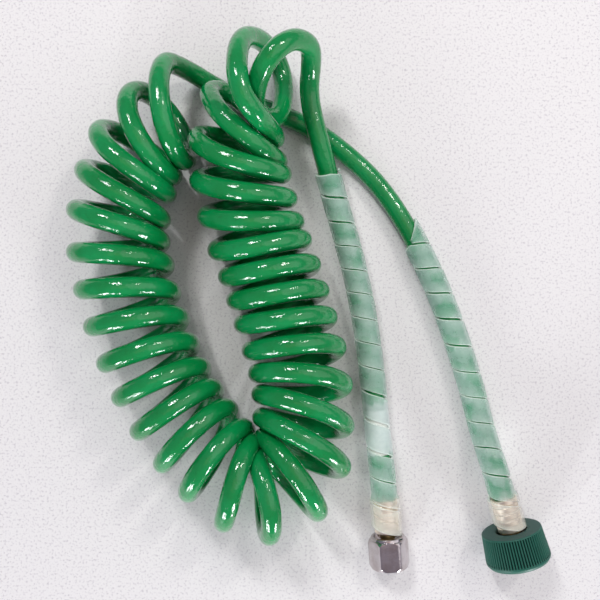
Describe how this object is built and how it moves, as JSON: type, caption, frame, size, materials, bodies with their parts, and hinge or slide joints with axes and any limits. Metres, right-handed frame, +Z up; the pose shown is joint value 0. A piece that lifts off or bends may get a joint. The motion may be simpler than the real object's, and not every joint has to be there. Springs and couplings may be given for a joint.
{
  "type": "coiled water hose",
  "caption": "Coiled recoil water hose lying in a U, with wrapped tails, crimped ferrules, a small hex swivel nut and a ribbed plastic hose nut.",
  "frame": {"origin": "on the surface that the hose lies on, under the middle of the whole object's box", "axes": "+Z up from the surface, +Y from the fittings towards the loose loops, +X from the coil towards the hose nut"},
  "size_m": [0.2305, 0.2603, 0.0591],
  "materials": {
    "hose": "glossy saturated green polyurethane",
    "wrap": "milky translucent spiral wrap",
    "label": "blank white film",
    "ferrule": "crimped bare metal, warm grey",
    "stem": "turned brass",
    "hex_nut": "bright nickel or chrome plate",
    "hose_nut": "matte dark teal-green moulded plastic",
    "washer": "black rubber"
  },
  "bodies": {
    "root": {"hose_coil": "hose", "hose_tail_a": "hose", "hose_tail_b": "hose", "wrap_guard_a": "wrap", "wrap_guard_b": "wrap", "label_sleeve": "label", "ferrule_a": "ferrule", "ferrule_b": "ferrule", "stem_a": "stem", "stem_b": "stem"},
    "washer_a": {"washer_a": "washer"},
    "hex_nut": {"hex_nut": "hex_nut"},
    "washer_b": {"washer_b": "washer"},
    "hose_nut": {"hose_nut": "hose_nut"}
  },
  "joints": [
    {"name": "hex_nut_play", "type": "slide", "parent": "root", "child": "washer_a", "axis": [0.0732, -0.9973, 0], "range_m": [0, 0.0006]},
    {"name": "hex_nut_swivel", "type": "hinge", "parent": "washer_a", "child": "hex_nut", "pos_m": [0.03725, -0.1124, 0.00875], "axis": [0.0732, -0.9973, 0], "continuous": true},
    {"name": "hose_nut_play", "type": "slide", "parent": "root", "child": "washer_b", "axis": [0.2487, -0.9686, 0], "range_m": [0, 0.0015]},
    {"name": "hose_nut_swivel", "type": "hinge", "parent": "washer_b", "child": "hose_nut", "pos_m": [0.0964, -0.1072, 0.0155], "axis": [0.2487, -0.9686, 0], "continuous": true}
  ]
}
